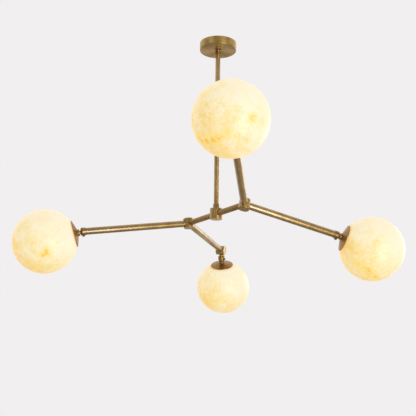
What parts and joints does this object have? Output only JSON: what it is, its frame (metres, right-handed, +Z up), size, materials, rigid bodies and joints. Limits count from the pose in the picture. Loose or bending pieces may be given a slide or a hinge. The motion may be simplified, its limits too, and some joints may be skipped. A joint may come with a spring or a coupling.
{
  "type": "branch chandelier",
  "caption": "Branch chandelier: brass arms on hinging hubs reach out at differing angles from a swivelling downrod, each ending in a tilting plate that carries a lit alabaster globe.",
  "frame": {"origin": "middle of the ceiling plane, between the two ceiling screw holes of the bracket", "axes": "+Z up; the two ceiling screw holes lie along X; the pictured front faces -Y"},
  "size_m": [1.215, 1.3128, 0.8338],
  "materials": {
    "brass": "brushed, lightly aged",
    "dark_brass": "brushed, darker",
    "alabaster": "veined alabaster, softly polished, lit from inside",
    "ring_aluminium": "turned",
    "lampholder_plastic": "matte",
    "bulb_glass": "frosted",
    "zinc_steel": "zinc plated",
    "grub_steel": "black oxide",
    "earth_green": "green passivated",
    "white_plastic": "matte"
  },
  "bodies": {
    "ceiling": {"ceiling_bracket": "zinc_steel", "bracket_screws": "dark_brass", "earth_screw": "earth_green", "terminal_block": "white_plastic", "canopy": "brass"},
    "seat": {"swivel_seat": "dark_brass"},
    "rod": {"swivel_ball": "brass", "rod_collar": "brass", "downrod": "brass", "rod_coupler": "brass", "centre_hub": "brass", "centre_hub_cap": "dark_brass", "cross_bar": "brass", "bar_screws": "grub_steel"},
    "left_side": {"left_hub": "brass", "left_hub_cap": "dark_brass", "left_hub_screw": "grub_steel", "left_arm": "brass", "far_arm": "brass", "left_collar": "brass"},
    "right_side": {"right_hub": "brass", "right_hub_cap": "dark_brass", "right_hub_screw": "grub_steel", "right_arm": "brass", "near_arm": "brass", "right_collar": "brass", "near_collar": "brass"},
    "elbow": {"elbow_hub": "brass", "elbow_cap": "dark_brass", "elbow_screw": "grub_steel", "elbow_stem": "brass", "far_collar": "brass"},
    "left_lamp": {"left_neck": "brass", "left_plate": "brass", "left_globe_ring": "ring_aluminium", "left_globe": "alabaster", "left_lampholder": "lampholder_plastic", "left_bulb": "bulb_glass"},
    "left_thumb": {"left_thumb_screw": "dark_brass"},
    "far_lamp": {"far_neck": "brass", "far_plate": "brass", "far_globe_ring": "ring_aluminium", "far_globe": "alabaster", "far_lampholder": "lampholder_plastic", "far_bulb": "bulb_glass"},
    "far_thumb": {"far_thumb_screw": "dark_brass"},
    "right_lamp": {"right_neck": "brass", "right_plate": "brass", "right_globe_ring": "ring_aluminium", "right_globe": "alabaster", "right_lampholder": "lampholder_plastic", "right_bulb": "bulb_glass"},
    "right_thumb": {"right_thumb_screw": "dark_brass"},
    "near_lamp": {"near_neck": "brass", "near_plate": "brass", "near_globe_ring": "ring_aluminium", "near_globe": "alabaster", "near_lampholder": "lampholder_plastic", "near_bulb": "bulb_glass"},
    "near_thumb": {"near_thumb_screw": "dark_brass"}
  },
  "joints": [
    {"name": "ceiling_turn", "type": "hinge", "parent": "ceiling", "child": "seat", "pos_m": [0, 0, -0.021], "axis": [0, 0, 1], "range_deg": [-170, 170]},
    {"name": "rod_swing", "type": "hinge", "parent": "seat", "child": "rod", "pos_m": [0, 0, -0.021], "axis": [0.1159, 0.9933, 0], "range_deg": [-15, 15]},
    {"name": "left_side_turn", "type": "hinge", "parent": "rod", "child": "left_side", "pos_m": [-0.09013, 0.15, -0.578], "axis": [0.515, -0.8572, 0], "range_deg": [-45, 45]},
    {"name": "right_side_turn", "type": "hinge", "parent": "rod", "child": "right_side", "pos_m": [0.08189, -0.13629, -0.578], "axis": [0.515, -0.8572, 0], "range_deg": [-45, 45]},
    {"name": "elbow_turn", "type": "hinge", "parent": "left_side", "child": "elbow", "pos_m": [0.02542, 0.51208, -0.60458], "axis": [0.3033, 0.9503, -0.0698], "range_deg": [-90, 90]},
    {"name": "left_globe_tilt", "type": "hinge", "parent": "left_side", "child": "left_lamp", "pos_m": [-0.41438, 0.00155, -0.6396], "axis": [0.2968, -0.2681, -0.9165], "range_deg": [-41.53, 0.47]},
    {"name": "far_globe_tilt", "type": "hinge", "parent": "elbow", "child": "far_lamp", "pos_m": [0.02807, 0.53053, -0.63301], "axis": [-0.9441, 0.3096, 0.1129], "range_deg": [-21, 21]},
    {"name": "right_globe_tilt", "type": "hinge", "parent": "right_side", "child": "right_lamp", "pos_m": [0.373, -0.00971, -0.64085], "axis": [-0.3547, 0.3949, -0.8475], "range_deg": [-39.92, 2.08]},
    {"name": "near_globe_tilt", "type": "hinge", "parent": "right_side", "child": "near_lamp", "pos_m": [0.0443, -0.40377, -0.4871], "axis": [0.9903, -0.1392, 0], "range_deg": [-21, 21]},
    {"name": "left_thumb_turn", "type": "hinge", "parent": "left_side", "child": "left_thumb", "pos_m": [-0.41438, 0.00155, -0.6396], "axis": [-0.1548, -0.0709, 0.9854], "range_deg": [0, 180]},
    {"name": "far_thumb_turn", "type": "hinge", "parent": "elbow", "child": "far_thumb", "pos_m": [0.02807, 0.53053, -0.63301], "axis": [-0.8291, 0.5012, 0.2479], "range_deg": [0, 180]},
    {"name": "right_thumb_turn", "type": "hinge", "parent": "right_side", "child": "right_thumb", "pos_m": [0.373, -0.00971, -0.64085], "axis": [0.1781, 0.0775, 0.981], "range_deg": [0, 180]},
    {"name": "near_thumb_turn", "type": "hinge", "parent": "right_side", "child": "near_thumb", "pos_m": [0.0443, -0.40377, -0.4871], "axis": [0.0444, 0.3159, 0.9478], "range_deg": [0, 180]}
  ]
}
